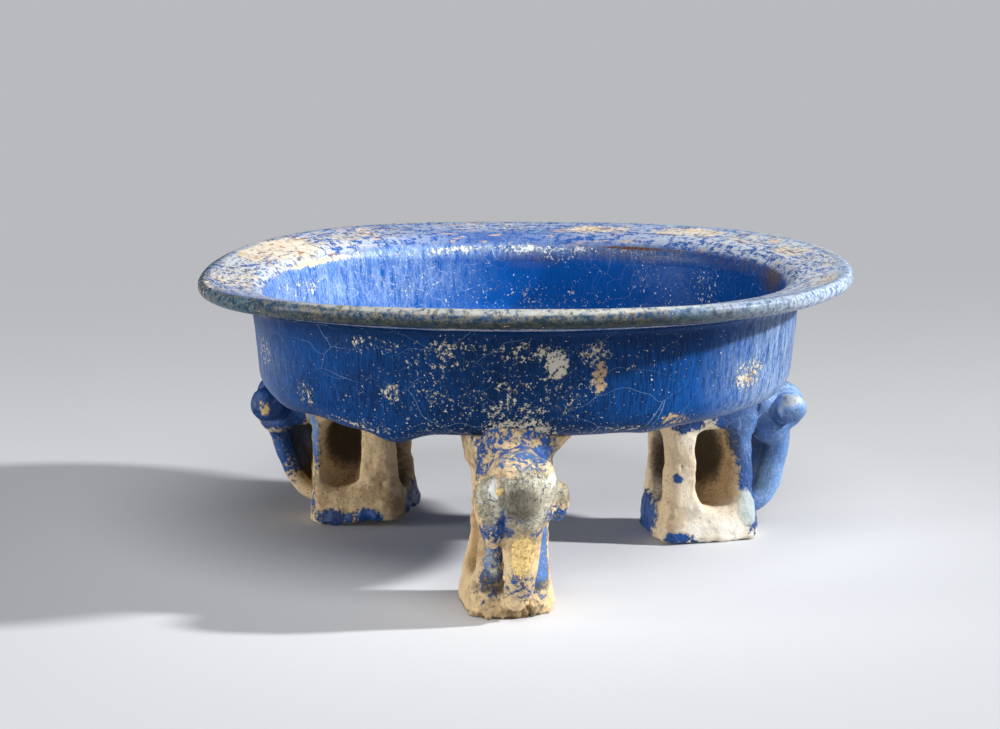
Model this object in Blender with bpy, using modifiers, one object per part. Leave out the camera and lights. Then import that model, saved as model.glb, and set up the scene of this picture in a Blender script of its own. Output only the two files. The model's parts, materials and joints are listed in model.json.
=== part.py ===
"""Footed bowl in glazed stonepaste, +Z up, in metres, standing on the ground plane at the origin.

A shallow round basin with a ledge rim stands on three feet. Each foot is a standing elephant that
faces outwards: a pierced block of four legs on a plinth, with a head, two ears and a trunk luted on
in front and a roll of paste pressed into the joint with the basin. The pieces were formed apart and
joined with slip, so each is a body of its own and meets its neighbours across a thin slip joint.
"""

import math

import bmesh
import bpy
from mathutils import Matrix, Vector

# Slip joint between two pieces of paste
SLIP_GAP = 0.0003

# Basin and ledge rim
FOOT_HEIGHT = 0.0560
BASIN_HEIGHT = 0.0430
WALL_TOP_RADIUS = 0.0925
WALL_FLARE = 0.0025
WALL_THICKNESS = 0.0058
FLOOR_THICKNESS = 0.0060
OUTER_CORNER = 0.0085
INNER_CORNER = 0.0100
LEDGE_WIDTH = 0.0175
RIM_THICKNESS = 0.0054
RIM_RISE = 0.0040
RIM_COLLAR = 0.0030
RIM_FILLET = 0.0020
RIM_INNER_ROUND = 0.0070
LIP_ROUND = 0.0026
TURNED_STEPS = 72
ARC_STEPS = 5

# The three feet, set by eye: bearing from the bowl's axis, twist from that bearing, and inset from the wall
FOOT_BEARING_DEG = {"front": -95.5, "right": 15.5, "left": 144.0}
FOOT_TWIST_DEG = {"front": 17.5, "right": -1.5, "left": 22.0}
FOOT_INSET = {"front": 0.0165, "right": 0.0268, "left": 0.0192}

# Pierced block of plinth, legs and back
BLOCK_DEPTH = 0.0330
BLOCK_WIDTH = {"front": 0.0265, "right": 0.0325, "left": 0.0325}
BLOCK_TAPER = 0.0022
BLOCK_EDGE = 0.0060
SOLE_EDGE = 0.0012
PLINTH_HEIGHT = 0.0105
BACK_HEIGHT = 0.0170
CORE_WIDTH = 0.0125
FLANK_OPENING = 0.0145
FLANK_FORWARD = {"front": 0.0, "right": 0.0020, "left": 0.0045}
FLANK_SILL = {"front": 0.0105, "right": 0.0115, "left": 0.0165}
FRONT_OPENING = 0.0090
REAR_OPENING = {"front": 0.0115, "right": 0.0165, "left": 0.0165}
END_DEPTH = 0.0078
OPENING_ROUND = 0.0050

# Head, ears and trunk, measured from the front face of the block and from the basin's underside
HEAD_LENGTH = 0.0235
HEAD_WIDTH = {"front": 0.0208, "right": 0.0176, "left": 0.0168}
HEAD_HEIGHT = 0.0230
HEAD_ROOT = {"front": 0.0030, "right": 0.0025, "left": 0.0}
HEAD_DROP = 0.0120
EAR_LENGTH = 0.0110
EAR_HEIGHT = 0.0132
EAR_THICKNESS = 0.0085
EAR_FORWARD = 0.0035
EAR_DROP = 0.0010
EAR_STAND = 0.0010
TRUNK_ROOT_RADIUS = {"front": 0.0068, "right": 0.0058, "left": 0.0047}
TRUNK_TIP_RADIUS = 0.0038
TRUNK_ROOT_FORWARD = 0.0055
TRUNK_ROOT_DROP = 0.0040
TRUNK_SET_BACK = 0.0015
TRUNK_SET_DROP = 0.0160
TRUNK_CURL_STAND = 0.0085
TRUNK_CURL_HEIGHT = 0.0050
TRUNK_TIP_SINK = 0.0010
TRUNK_TIP_HEIGHT = 0.0085
TRUNK_STEPS = 14

# Roll of paste pressed round the top of a block, under the basin
ROLL_HEIGHT = 0.0050
ROLL_TOP_WIDTH = 0.0032
ROLL_LOW_WIDTH = 0.0012

UNDERSIDE = FOOT_HEIGHT
WALL_LOW_RADIUS = WALL_TOP_RADIUS - WALL_FLARE
RIM_RADIUS = WALL_TOP_RADIUS + LEDGE_WIDTH
RIM_TOP = FOOT_HEIGHT + BASIN_HEIGHT
RIM_SEAM = RIM_TOP - RIM_RISE - RIM_THICKNESS - RIM_COLLAR
BLOCK_FRONT = BLOCK_DEPTH / 2


def clear_scene():
    for old in list(bpy.data.objects):
        bpy.data.objects.remove(old)


def new_collection(name):
    collection = bpy.data.collections.new(name)
    bpy.context.scene.collection.children.link(collection)
    return collection


def finish(name, colour, roughness, metallic=0.0):
    """A Principled material of one colour."""
    material = bpy.data.materials.new(name)
    material.use_nodes = True
    shader = material.node_tree.nodes["Principled BSDF"]
    shader.inputs["Base Color"].default_value = (*colour, 1)
    shader.inputs["Roughness"].default_value = roughness
    shader.inputs["Metallic"].default_value = metallic
    return material


def add_part(name, mesh, material, parent=None):
    part = bpy.data.objects.new(name, mesh)
    part.parent = parent
    part.data.materials.append(material)
    PARTS.objects.link(part)
    return part


def add_cutter(name, mesh, parent=None):
    cutter = bpy.data.objects.new(name, mesh)
    cutter.parent = parent
    cutter.hide_render = True
    cutter.display_type = "WIRE"
    CUTTERS.objects.link(cutter)
    return cutter


def cut(part, *cutters):
    for cutter in cutters:
        boolean = part.modifiers.new("cut by " + cutter.name, "BOOLEAN")
        boolean.operation = "DIFFERENCE"
        boolean.object = cutter


def bevel(part, width, segments=3):
    rounding = part.modifiers.new("rounded edges", "BEVEL")
    rounding.width = width
    rounding.segments = segments
    rounding.limit_method = "ANGLE"
    rounding.use_clamp_overlap = True


def smooth(mesh, angle_deg=40):
    mesh.shade_smooth()
    mesh.set_sharp_from_angle(angle=math.radians(angle_deg))


def rounded(corners):
    """The (x, z) points of a section. Each corner is (x, z, radius), and a radius above 0 is an arc."""
    points = []
    for i, (x, z, radius) in enumerate(corners):
        here = Vector((x, z))
        if radius == 0:
            points.append(here)
            continue
        before = (Vector(corners[i - 1][:2]) - here).normalized()
        after = (Vector(corners[(i + 1) % len(corners)][:2]) - here).normalized()
        half = before.angle(after) / 2
        centre = here + (before + after).normalized() * (radius / math.sin(half))
        start = here + before * (radius / math.tan(half)) - centre
        sweep = start.angle_signed(here + after * (radius / math.tan(half)) - centre)
        for step in range(ARC_STEPS + 1):
            swing = Matrix.Rotation(-sweep * step / ARC_STEPS, 2)
            points.append(centre + swing @ start)
    return points


def turned_mesh(name, section, closed):
    """A section at +X as an edge loop or line, to be turned about Z by a Screw modifier."""
    bm = bmesh.new()
    verts = [bm.verts.new((point.x, 0, point.y)) for point in section]
    for first, second in zip(verts, verts[1:]):
        bm.edges.new((first, second))
    if closed:
        bm.edges.new((verts[-1], verts[0]))
    mesh = bpy.data.meshes.new(name)
    bm.to_mesh(mesh)
    bm.free()
    return mesh


def turn(part):
    screw = part.modifiers.new("turned", "SCREW")
    screw.steps = TURNED_STEPS
    screw.render_steps = TURNED_STEPS
    screw.use_merge_vertices = True
    screw.merge_threshold = 0.00005
    screw.use_smooth_shade = True


def wall_radius(height):
    """Outside radius of the basin's straight wall at a height."""
    low = UNDERSIDE + OUTER_CORNER
    share = (height - low) / (RIM_TOP - RIM_RISE - RIM_THICKNESS - low)
    return WALL_LOW_RADIUS + share * (WALL_TOP_RADIUS - WALL_LOW_RADIUS)


def basin_outside(grow):
    """Corners of the outside, from the seam under the rim down to the middle of the underside."""
    return [
        (wall_radius(RIM_SEAM) + grow, RIM_SEAM - SLIP_GAP + grow, 0),
        (wall_radius(UNDERSIDE) + grow, UNDERSIDE - grow, OUTER_CORNER + grow),
        (0, UNDERSIDE - grow, 0),
    ]


def make_basin():
    floor = UNDERSIDE + FLOOR_THICKNESS
    inside = [
        (0, floor, 0),
        (wall_radius(floor) - WALL_THICKNESS, floor, INNER_CORNER),
        (wall_radius(RIM_SEAM) - WALL_THICKNESS, RIM_SEAM - SLIP_GAP, 0),
    ]
    section = rounded(inside + basin_outside(0))
    basin = add_part("bowl_basin", turned_mesh("bowl_basin", section, closed=False), BLUE_GLAZE)
    turn(basin)
    solid = rounded([(0, RIM_SEAM, 0)] + basin_outside(SLIP_GAP))
    clearance = add_cutter("basin_clearance", turned_mesh("basin_clearance", solid, closed=False))
    turn(clearance)
    return clearance


def make_rim():
    inner_edge = wall_radius(RIM_TOP) - WALL_THICKNESS
    ledge_low = RIM_TOP - RIM_RISE - RIM_THICKNESS
    lip_round = min(LIP_ROUND, RIM_THICKNESS * 0.48)
    inner_round = min(RIM_INNER_ROUND, (RIM_TOP - RIM_RISE - RIM_SEAM) * 0.9)
    section = rounded([
        (wall_radius(RIM_SEAM) - WALL_THICKNESS, RIM_SEAM, 0),
        (inner_edge, RIM_TOP - RIM_RISE, inner_round),
        (RIM_RADIUS, RIM_TOP, lip_round),
        (RIM_RADIUS, RIM_TOP - RIM_THICKNESS, lip_round),
        (wall_radius(ledge_low), ledge_low, RIM_FILLET),
        (wall_radius(RIM_SEAM), RIM_SEAM, 0),
    ])
    rim = add_part("ledge_rim", turned_mesh("ledge_rim", section, closed=True), BLUE_GLAZE)
    turn(rim)


def rounded_box(name, low, top, low_z, top_z, edge, sole_edge=0):
    """A box that may narrow upwards. low and top are its (x, y) sizes; edge rounds its upright corners."""
    bm = bmesh.new()
    bmesh.ops.create_cube(bm, size=1)
    for vert in bm.verts:
        is_low = vert.co.z < 0
        vert.co.x *= low[0] if is_low else top[0]
        vert.co.y *= low[1] if is_low else top[1]
        vert.co.z = low_z if is_low else top_z
    middle = (low_z + top_z) / 2
    upright = [e for e in bm.edges if (e.verts[0].co.z < middle) != (e.verts[1].co.z < middle)]
    bmesh.ops.bevel(bm, geom=upright, offset=edge, segments=4, profile=0.5, affect="EDGES")
    if sole_edge:
        sole = [e for e in bm.edges if max(v.co.z for v in e.verts) < middle]
        bmesh.ops.bevel(bm, geom=sole, offset=sole_edge, segments=2, profile=0.5, affect="EDGES")
    mesh = bpy.data.meshes.new(name)
    bm.to_mesh(mesh)
    bm.free()
    smooth(mesh)
    return mesh


def block_mesh(name, width, grow, sole_edge=0):
    """The block before piercing: a box that narrows a little from its plinth to its back."""
    low = (BLOCK_DEPTH + 2 * grow, width + 2 * grow)
    top = (low[0] - 2 * BLOCK_TAPER, low[1] - 2 * BLOCK_TAPER)
    return rounded_box(name, low, top, -grow, UNDERSIDE - SLIP_GAP + grow, BLOCK_EDGE + grow, sole_edge)


def box_mesh(name, size, centre):
    bm = bmesh.new()
    bmesh.ops.create_cube(bm, size=1, matrix=Matrix.Translation(centre) @ Matrix.Diagonal((*size, 1)))
    mesh = bpy.data.meshes.new(name)
    bm.to_mesh(mesh)
    bm.free()
    return mesh


def ellipsoid_mesh(name, size, centre, rings=14, segments=20):
    bm = bmesh.new()
    place = Matrix.Translation(centre) @ Matrix.Diagonal((*size, 1))
    bmesh.ops.create_uvsphere(bm, u_segments=segments, v_segments=rings, radius=0.5, matrix=place)
    mesh = bpy.data.meshes.new(name)
    bm.to_mesh(mesh)
    bm.free()
    smooth(mesh)
    return mesh


def make_block(foot, name, label):
    """The pierced block: a hollow in each side, between the legs, that stops at a core. Returns the cutter
    that keeps other pieces clear of it."""
    width = BLOCK_WIDTH[name]
    block = add_part(label + "_block", block_mesh("block", width, 0, SOLE_EDGE), BARE_PASTE, foot)
    head = UNDERSIDE - BACK_HEIGHT
    middle = (PLINTH_HEIGHT + head) / 2
    sill = FLANK_SILL[name]
    flank = (FLANK_OPENING, width - CORE_WIDTH, head - sill)
    front = (2 * END_DEPTH, FRONT_OPENING, head - PLINTH_HEIGHT)
    rear = (2 * END_DEPTH, REAR_OPENING[name], head - PLINTH_HEIGHT)
    hollows = [
        ("left_flank", flank, (FLANK_FORWARD[name], width / 2, (sill + head) / 2)),
        ("right_flank", flank, (FLANK_FORWARD[name], -width / 2, (sill + head) / 2)),
        ("front", front, (BLOCK_DEPTH / 2, 0, middle)),
        ("rear", rear, (-BLOCK_DEPTH / 2, 0, middle)),
    ]
    for side, size, centre in hollows:
        hollow = add_cutter(f"{label}_{side}_hollow", box_mesh(side + "_hollow", size, centre), foot)
        bevel(hollow, OPENING_ROUND, segments=4)
        cut(block, hollow)
    return add_cutter(label + "_block_clearance", block_mesh("block_clearance", width, SLIP_GAP), foot)


def grown(size, gap):
    return [side + 2 * gap for side in size]


def make_head(foot, name, label, middle, block_clearance, basin_clearance):
    size = (HEAD_LENGTH, HEAD_WIDTH[name], HEAD_HEIGHT)
    head = add_part(label + "_head", ellipsoid_mesh("head", size, middle), WORN_GLAZE, foot)
    cut(head, block_clearance, basin_clearance)
    around = ellipsoid_mesh("head_clearance", grown(size, SLIP_GAP), middle)
    return add_cutter(label + "_head_clearance", around, foot)


def make_ears(foot, name, label, middle, head_clearance, basin_clearance):
    size = (EAR_LENGTH, EAR_THICKNESS, EAR_HEIGHT)
    for side, sign in (("left", 1), ("right", -1)):
        aside = sign * (HEAD_WIDTH[name] / 2 + EAR_STAND)
        centre = middle + Vector((EAR_FORWARD, aside, -EAR_DROP))
        mesh = ellipsoid_mesh("ear", size, centre, rings=10, segments=16)
        ear = add_part(f"{label}_{side}_ear", mesh, WORN_GLAZE, foot)
        cut(ear, head_clearance, basin_clearance)


def trunk_route(middle):
    """Middle line of the trunk, from inside the head down and back in to the front of the plinth."""
    root = middle + Vector((TRUNK_ROOT_FORWARD, 0, -TRUNK_ROOT_DROP))
    bend = root - Vector((TRUNK_SET_BACK, 0, TRUNK_SET_DROP))
    curl = Vector((BLOCK_FRONT + TRUNK_CURL_STAND, 0, TRUNK_CURL_HEIGHT))
    tip = Vector((BLOCK_FRONT - TRUNK_TIP_SINK, 0, TRUNK_TIP_HEIGHT))
    points = []
    for step in range(TRUNK_STEPS + 1):
        t = step / TRUNK_STEPS
        weights = ((1 - t) ** 3, 3 * t * (1 - t) ** 2, 3 * t * t * (1 - t), t ** 3)
        points.append(sum((w * p for w, p in zip(weights, (root, bend, curl, tip))), Vector()))
    return points


def make_trunk(foot, name, label, middle, head_clearance, block_clearance):
    curve = bpy.data.curves.new("trunk", "CURVE")
    curve.dimensions = "3D"
    curve.bevel_depth = 1
    curve.bevel_resolution = 3
    curve.use_fill_caps = True
    route = trunk_route(middle)
    root_radius = TRUNK_ROOT_RADIUS[name]
    spline = curve.splines.new("POLY")
    spline.points.add(len(route) - 1)
    for step, (point, place) in enumerate(zip(spline.points, route)):
        share = step / TRUNK_STEPS
        point.co = (*place, 1)
        point.radius = root_radius + share * (TRUNK_TIP_RADIUS - root_radius)
    line = bpy.data.objects.new("trunk_line", curve)
    CUTTERS.objects.link(line)
    bpy.context.view_layer.update()
    mesh = bpy.data.meshes.new_from_object(line.evaluated_get(bpy.context.evaluated_depsgraph_get()))
    bpy.data.objects.remove(line)
    bm = bmesh.new()
    bm.from_mesh(mesh)
    bmesh.ops.remove_doubles(bm, verts=bm.verts, dist=0.00001)
    bmesh.ops.recalc_face_normals(bm, faces=bm.faces)
    bm.to_mesh(mesh)
    bm.free()
    mesh.name = "trunk"
    smooth(mesh)
    trunk = add_part(label + "_trunk", mesh, GILDED_GLAZE, foot)
    cut(trunk, head_clearance, block_clearance)


def make_roll(foot, name, label, block_clearance, head_clearance, basin_clearance):
    """A collar of paste round the top of the block, wider where it meets the basin."""
    back = (BLOCK_DEPTH - 2 * BLOCK_TAPER, BLOCK_WIDTH[name] - 2 * BLOCK_TAPER)
    low = grown(back, SLIP_GAP + ROLL_LOW_WIDTH)
    top = grown(back, SLIP_GAP + ROLL_TOP_WIDTH)
    mesh = rounded_box("luting_roll", low, top, UNDERSIDE - ROLL_HEIGHT, UNDERSIDE + FLOOR_THICKNESS / 2,
                       BLOCK_EDGE + ROLL_LOW_WIDTH)
    roll = add_part(label + "_luting_roll", mesh, WORN_GLAZE, foot)
    cut(roll, block_clearance, head_clearance, basin_clearance)


def make_foot(name, basin_clearance):
    bearing = math.radians(FOOT_BEARING_DEG[name])
    label = name + "_foot"
    foot = bpy.data.objects.new(label, None)
    reach = WALL_LOW_RADIUS - FOOT_INSET[name]
    foot.location = (reach * math.cos(bearing), reach * math.sin(bearing), 0)
    foot.rotation_euler.z = bearing + math.radians(FOOT_TWIST_DEG[name])
    PARTS.objects.link(foot)
    block_clearance = make_block(foot, name, label)
    middle = Vector((BLOCK_FRONT - HEAD_ROOT[name] + HEAD_LENGTH / 2, 0, UNDERSIDE - HEAD_DROP))
    head_clearance = make_head(foot, name, label, middle, block_clearance, basin_clearance)
    make_ears(foot, name, label, middle, head_clearance, basin_clearance)
    make_trunk(foot, name, label, middle, head_clearance, block_clearance)
    make_roll(foot, name, label, block_clearance, head_clearance, basin_clearance)


clear_scene()
PARTS = new_collection("footed_bowl")
CUTTERS = new_collection("cutters")
BLUE_GLAZE = finish("blue_glaze", (0.02, 0.08, 0.38), 0.22)
WORN_GLAZE = finish("worn_glaze", (0.16, 0.20, 0.34), 0.40)
GILDED_GLAZE = finish("gilded_glaze", (0.62, 0.42, 0.16), 0.45, 0.3)
BARE_PASTE = finish("bare_paste", (0.66, 0.54, 0.38), 0.85)

basin_clearance = make_basin()
make_rim()
for name in FOOT_INSET:
    make_foot(name, basin_clearance)
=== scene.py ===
"""Footed bowl in cobalt-glazed stonepaste: the looks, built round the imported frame.

Lengths are in metres, except on the feet and in the lists of wear, which are in millimetres.
"""

import json
import math

import bmesh
import bpy
import numpy as np
from mathutils import Matrix, Vector, noise

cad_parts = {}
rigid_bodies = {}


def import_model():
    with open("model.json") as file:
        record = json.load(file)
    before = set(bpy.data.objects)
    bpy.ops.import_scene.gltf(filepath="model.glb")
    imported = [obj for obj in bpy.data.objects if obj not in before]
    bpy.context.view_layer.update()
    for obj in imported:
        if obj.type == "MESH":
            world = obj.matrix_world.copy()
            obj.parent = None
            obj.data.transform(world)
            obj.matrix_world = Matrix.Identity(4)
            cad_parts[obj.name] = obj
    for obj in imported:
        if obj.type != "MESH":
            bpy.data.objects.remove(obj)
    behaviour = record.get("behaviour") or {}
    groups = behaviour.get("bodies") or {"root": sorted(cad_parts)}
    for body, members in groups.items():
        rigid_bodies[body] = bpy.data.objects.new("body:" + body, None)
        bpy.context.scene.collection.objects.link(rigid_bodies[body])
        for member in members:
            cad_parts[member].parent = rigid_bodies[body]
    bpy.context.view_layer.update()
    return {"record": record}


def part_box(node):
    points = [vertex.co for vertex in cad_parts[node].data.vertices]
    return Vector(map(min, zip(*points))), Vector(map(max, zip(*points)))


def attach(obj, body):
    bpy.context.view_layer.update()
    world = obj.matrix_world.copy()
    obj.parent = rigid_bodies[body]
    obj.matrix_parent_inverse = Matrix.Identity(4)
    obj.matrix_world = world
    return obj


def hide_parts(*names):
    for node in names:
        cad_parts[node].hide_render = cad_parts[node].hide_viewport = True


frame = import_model()

MM = 0.001
BODY = "root"

# Camera, fitted to the photograph's 1000 x 729 frame
IMAGE_WIDTH = 1000
FOCAL_PIXELS = 2438
SENSOR_WIDTH = 36
CAMERA_PLACE = Vector((0, -0.8171, 0.2149))
CAMERA_PITCH = 0.1831
CAMERA_YAW = -0.0105
CAMERA_ROLL = -0.0089

# Stage. The floor fades into the backdrop between two distances behind the bowl, and painted light
# makes it palest round the bowl, against the shade there.
# A lamp is its name, place, target, size and power.
BACKDROP = (0.485, 0.490, 0.515)
AMBIENT = 0.11
FLOOR_FADE = (-0.05, 0.68)
LAMPS = [
    ("key", (3.95, -0.39, 2.15), (0, 0, 0.05), 0.30, 340),
    ("fill", (0.3, -1.45, 2.0), (0, -0.05, 0.03), 1.7, 48),
    ("card", (-1.3, -0.35, 0.16), (0, 0, 0.05), 0.6, 15),
]
FLOOR_HALF = 6
FLOOR_PAINTED_LIGHT = (0.24, 0.04)
FLOOR_COLOUR = (0.455, 0.465, 0.485)
FLOOR_PAINTED_LIGHT_COLOUR = (0.59, 0.60, 0.62)

# Bowl, read from the frame where it can be
RIM_LOW, RIM_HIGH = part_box("ledge_rim")
BASIN_LOW, BASIN_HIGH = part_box("bowl_basin")
RIM_RADIUS = RIM_HIGH.x
RIM_SEAM = RIM_LOW.z
UNDERSIDE = BASIN_LOW.z
WALL_SEAM_RADIUS = BASIN_HIGH.x
WALL_LOW_RADIUS = 0.0893
WALL_THICKNESS = 0.0058
FLOOR_THICKNESS = 0.0060
OUTER_CORNER = 0.0085
INNER_CORNER = 0.0100
LEDGE_LOW = 0.0896
LEDGE_INNER_TOP = 0.0950
LEDGE_OUTER_TOP = 0.0990
LEDGE_SHOULDER = 0.0070
LIP_THICKNESS = 0.0054
LIP_ROUNDING = 0.0027
UNDER_ROUNDING = 0.0026
INNER_STEP = 0.0002
OUTER_STEP = 0.0003
SPIN_WEDGES = 8
WEDGE_STEPS = 44
PROFILE_STEP = 0.0012
SEAM_MERGE = 0.00002
SHARP_ANGLE = 55

# Signs of the hand: the rim's sway, its three-fold wave and its lifts, the wall's ripples (how many to the
# metre, how high in mm), and the thick rolls where glaze ran down. Lifts and drips are given as bearing,
# height in mm and spread in degrees.
RIM_SWAY = 0.8 * MM
RIM_WAVE = 0.7 * MM
RIM_WAVE_START = 24
RIPPLES = [(45, 0.5), (140, 0.12)]
STILL_RADIUS = 0.02
DRIP_CORNER = 1.2 * OUTER_CORNER
DRIP_TOP = 0.067
DRIP_RUN = 0.009
DRIP_INNER_RADIUS = 0.074
DRIP_REACH = 0.008
RIM_LIFTS = [(136, 1.3, 32), (45, 0.9, 32), (190, -1.5, 24)]
DRIPS = [(-119.5, 3.8, 6), (-131, 1.2, 6), (-63, 0.9, 4), (40, 1.5, 6), (150, 2.0, 5), (205, 1.2, 7)]

# Feet. A foot's own frame has its origin on the ground under the block, x the way the elephant faces, y to
# its left and z up, in millimetres. Facing is in degrees from +X. Flank is the side opening's back, front
# and sill. An ear is its centre and radii. Rows give the front, right and left foot.
SOLES = {mount["name"]: Vector(mount["pos_m"]) for mount in frame["record"]["mounts"]}
FOOT_NAMES = ("front", "right", "left")
FOOT_SIZES = {
    "facing": (-78, 14, 166),
    "back": (-15.5, -18.6, -16.8),
    "front": (16.8, 17, 18.4),
    "half": (13.6, 16.6, 16.6),
    "top_half": (11.2, 14, 14),
    "edge": (8, 5, 6),
    "neck": (15.6, 19, 18),
    "lean": (2.8, 0, 0),
    "fillet": (1.6, 0, 0),
    "brow": (10.4, 8.6, 8),
    "head": (0, 1, 4.6),
    "sink": (1, 1.5, 2.4),
    "gap": (3.4, 4.8, 4.8),
    "chin": (0, -4, 0),
    "web": (0, 5, -5),
    "flank": ((-7, 7.5, 11), (-5.6, 9.8, 12), (-1.6, 14.4, 14)),
    "end": (6, 9, 9),
    "left_ear": (
        ((27.5, 11.4, 40.2), (4.6, 3.2, 6.6)),
        ((28.5, 9.6, 44.5), (5.4, 3.6, 5.6)),
        ((29.5, 10, 44.5), (6.2, 4.4, 7)),
    ),
    "right_ear": (
        ((27, -10.6, 38.5), (5, 4, 12)),
        ((28.8, -10.4, 46.2), (5.6, 4.2, 5.6)),
        ((28, -9.6, 44), (5.2, 3.4, 6)),
    ),
    "swell": (0.4, 0.4, 0.7),
}
FEET = {
    name: {size: row[column] for size, row in FOOT_SIZES.items()}
    for column, name in enumerate(FOOT_NAMES)
}
EAR_BALLS = {"right": (29.8, -10.4, 44.7, 6.3), "left": (34.1, 10.0, 42.1, 7.2)}
EAR_SPLAY = 10

# Block: its taper at the back and front, the core's share of its half width, and its openings, whose
# rounding is a share of their half width. The saddle is the flare at its top, set in by some millimetres.
BLOCK_TOP_Z = 57.0
BLOCK_TAPER = (2.2, 2.0)
SOLE_EDGE = 1.8
CORE_SHARE = 0.14
FLANK_TOP = 39.5
FLANK_REACH = 40
FLANK_ROUNDING = 5.6
FLANK_SLANT = 0.38
END_DEPTH = 10.5
END_SILL, END_TOP = 13, 38
GAP_DEPTH = 7
GAP_SILL, GAP_TOP = 9.5, 34
OPENING_REACH = 60
END_ROUNDING, GAP_ROUNDING = 0.7, 0.9
SADDLE_Z = 46
SADDLE_FLARE = 2.6
SADDLE_BACK, SADDLE_TOP_BACK, SADDLE_FRONT = 3, 0.5, 1

# Head, chest and webs: where each lump's centre lies along x and z, and its radii
NAPE_Z, NAPE_BACK, NAPE_RADII = 57.5, 3.5, (4.2, 6.0)
CHEST_Z, CHEST_NARROW, CHEST_RADII = 47, 2, (8, 8)
WEBS = [(22, 0.8, 25, (6.5, 2.6, 18)), (22, 1.0, 35, (7.5, 2.6, 11))]
BROW_X, BROW_Z, BROW_RADII = 28, 45.5, (8, 8.6)
BROW_SHARES = (0.5, 0.56)
CHEEK_Z, CHEEK_RADII = 40, (7.8, 7.5)
CHEEK_SHARES = (0.42, 0.54)
SKULL_X, SKULL_RADII = 24, (12, 10.0)
FOREHEAD_X, FOREHEAD_Z, FOREHEAD_RADII = 29.6, 46, (7.4, 8.0)
SHOULDER_IN, SHOULDER_Z, SHOULDER_RADII = 4.5, 42, (5.5, 5, 9)

# Worn clay. Lumps are pairs of height and size. Bands are (where, half-width, depth).
LUMPS = [(0.55, 9), (0.16, 3)]
PASTE_SWELL_SIZE = 6
PASTE_LUMPS = [(0.26, 3.4), (0.14, 1.3)]
CRUMBS = [(1.0, 2.4), (0.6, 1.1)]
PIT_SPACING, PIT_SHARE, PIT_DEPTH = 3.6, 0.18, 0.7
CHIP_TOP, CHIP_SIZE, CHIP_DEPTH, CHIP_START = 9, 4, 1.1, 0.05
WAIST, WAIST_LOW, WAIST_SPAN, WAIST_MIDDLE, WAIST_HALF = 1.4, 6, 40, 4, 9
EAR_GROOVE_WIDTH, EAR_GROOVE_DEPTH, EAR_START = 0.8, 1.3, 4
CHEEK_GROOVE = (-7.4, 0.9, 1.5)
CHEEK_GROOVE_BACK = 24
CHEEK_GROOVE_SPAN = (33, 51)
CRACK = (4.3, 0.55, 1.4)
CRACK_TOP, CRACK_BACK, CRACK_SWAY = 9.5, 8, 0.5
SOLE_RISE, SOLE_RISE_START, SOLE_RISE_RUN, SOLE_RISE_TOP = 3.0, 9.0, 25.0, 14
PASTE_TOP = 50
POST_FRONT = 16.5
POST_SPAN = (2, 46)
TRUNK_ROUTES = {
    "front": [
        (29.4, 46, 8), (29.8, 39, 7.4), (27.3, 31, 6.5), (24.8, 21, 5.5), (22.3, 12.5, 4.8), (18.4, 8.2, 4.6),
        (12.6, 8, 4.6),
    ],
    "right": [
        (28.4, 46, 5.8), (28.8, 39, 5), (28.6, 31, 4.3), (26.4, 21, 4.2), (24.4, 14.2, 4), (20, 10.4, 4),
        (13, 9.5, 4.2),
    ],
    "left": [
        (35.4, 46, 5.6), (36.2, 39, 5), (33.6, 31, 3.8), (30, 21, 3.3), (26.2, 12.5, 3.1), (20.2, 8.2, 3.2),
        (12, 8, 3.8),
    ],
}
VOXEL = 0.55
SMOOTHING = 0.5
SMOOTH_ROUNDS = 14
POST_ROUNDS = 26

# How a patch of wear fades towards its edge
PATCH_PLATEAU, PATCH_FALL = 1.6, 1.1

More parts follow.
